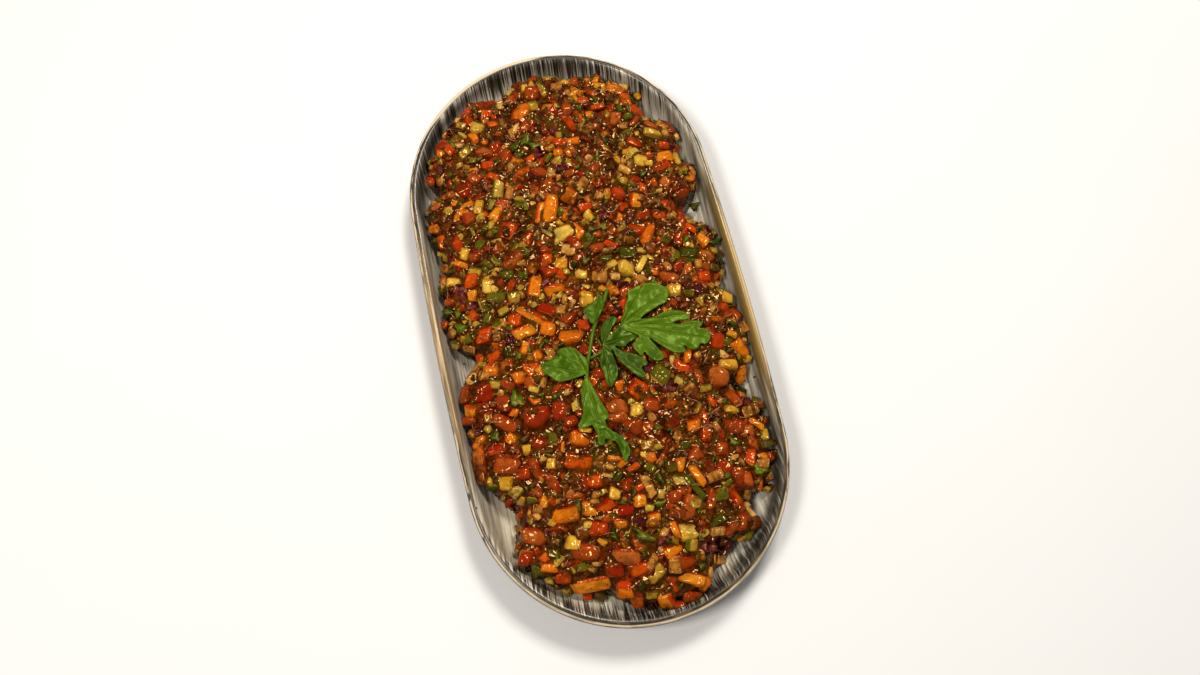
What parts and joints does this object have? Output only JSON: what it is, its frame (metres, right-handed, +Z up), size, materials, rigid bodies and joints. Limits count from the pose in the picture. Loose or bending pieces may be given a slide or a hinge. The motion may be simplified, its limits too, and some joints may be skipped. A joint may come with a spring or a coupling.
{
  "type": "dish of ezme salad",
  "caption": "Long oval stoneware dish with a rolled rim, heaped with a finely chopped, glossy tomato and pepper salad under a parsley sprig.",
  "frame": {"origin": "middle of the dish's footprint, on the surface that it stands on", "axes": "+Z up, +Y along the dish, +X across it to the side that the parsley's largest leaf points to"},
  "size_m": [0.1578, 0.2998, 0.0345],
  "materials": {
    "stoneware": "gloss, grey-green glaze streaked along the dish, dark brown at the ends, tan rim",
    "chopped_salad": "wet gloss, mixed red, orange, yellow and green dice in dark red dressing",
    "parsley": "satin, fresh green with paler veins"
  },
  "bodies": {
    "root": {"dish": "stoneware", "ezme_salad": "chopped_salad", "parsley_sprig": "parsley"}
  },
  "joints": []
}
